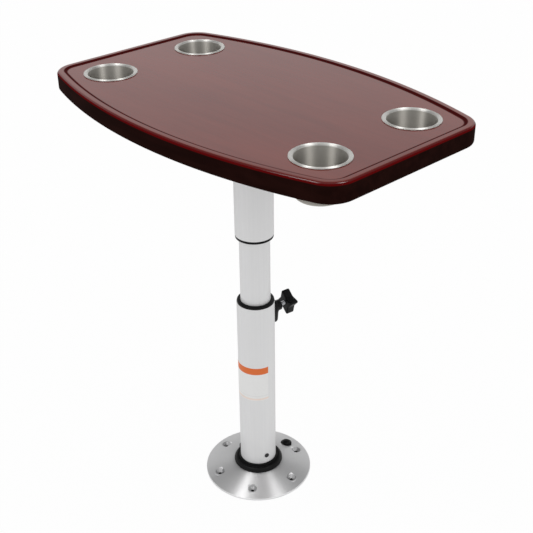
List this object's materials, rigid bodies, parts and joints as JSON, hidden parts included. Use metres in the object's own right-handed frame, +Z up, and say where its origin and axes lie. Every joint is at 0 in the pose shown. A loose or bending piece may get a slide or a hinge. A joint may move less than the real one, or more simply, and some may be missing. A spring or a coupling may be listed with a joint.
{
  "type": "single pole camper table",
  "caption": "Camper table on one telescopic pole: bowed top with a raised lip and metal drink holders, height clamp with a star knob, and a round push-button floor base.",
  "frame": {"origin": "centre of the base's underside, on the floor, on the pole's axis", "axes": "+X along the top's length, +Y across the top towards the clamp knob's side, +Z up along the pole"},
  "size_m": [0.661, 0.428, 0.7663],
  "materials": {
    "lacquered_top": "glossy lacquer over a dark red-brown veneer",
    "holder_steel": "brushed inside, polished rim",
    "tube_satin": "satin anodised",
    "base_turned": "turned face",
    "cast_grey": "as cast and machined",
    "black_plastic": "fine moulded grain",
    "pale_plastic": "plain slide plastic",
    "plated_steel": "zinc plated",
    "insert_brass": "machined",
    "label_film": "printed film"
  },
  "bodies": {
    "stand": {"base_flange": "base_turned", "base_bushing": "black_plastic", "retaining_ring": "plated_steel", "latch_guide": "black_plastic", "guide_screws": "plated_steel", "foot_plug": "cast_grey", "foot_screws": "plated_steel", "lower_tube": "tube_satin", "tube_label": "label_film", "collar": "black_plastic", "clamp_saddle": "black_plastic", "clamp_insert": "insert_brass"},
    "button": {"release_button": "black_plastic", "button_spring": "plated_steel"},
    "latch": {"latch_bolt": "plated_steel"},
    "pad": {"clamp_pad": "pale_plastic"},
    "knob": {"clamp_knob": "black_plastic", "clamp_stud": "plated_steel"},
    "bush": {"guide_bush": "pale_plastic"},
    "table": {"middle_tube": "tube_satin", "mast_plug": "black_plastic", "upper_sleeve": "tube_satin", "sleeve_ring": "black_plastic", "table_bracket": "cast_grey", "bracket_screws": "plated_steel", "table_top": "lacquered_top", "cup_holder_1": "holder_steel", "cup_holder_2": "holder_steel", "cup_holder_3": "holder_steel", "cup_holder_4": "holder_steel"}
  },
  "joints": [
    {"name": "height_slide", "type": "slide", "parent": "stand", "child": "bush", "axis": [0, 0, 1], "range_m": [-0.1252, 0.09]},
    {"name": "table_turn", "type": "hinge", "parent": "bush", "child": "table", "pos_m": [0, 0, 0.5], "axis": [0, 0, 1], "continuous": true},
    {"name": "pad_slide", "type": "slide", "parent": "stand", "child": "pad", "axis": [0.1219, 0.9925, 0], "range_m": [0, 0.0026]},
    {"name": "knob_turn", "type": "hinge", "parent": "pad", "child": "knob", "pos_m": [0, 0, 0.352], "axis": [0.1219, 0.9925, 0], "range_deg": [0, 720]},
    {"name": "button_press", "type": "slide", "parent": "stand", "child": "button", "axis": [0, 0, -1], "range_m": [0, 0.003], "stiffness_N_per_m": 900, "springref_m": -0.002, "deforming": ["button_spring"]},
    {"name": "latch_slide", "type": "slide", "parent": "stand", "child": "latch", "axis": [0.0349, 0.9994, 0], "range_m": [0, 0.003]}
  ],
  "couplings": [
    {"joint": "pad_slide", "follows": "knob_turn", "m_per_rad": 0.00019894},
    {"joint": "latch_slide", "follows": "button_press", "ratio": 1}
  ]
}
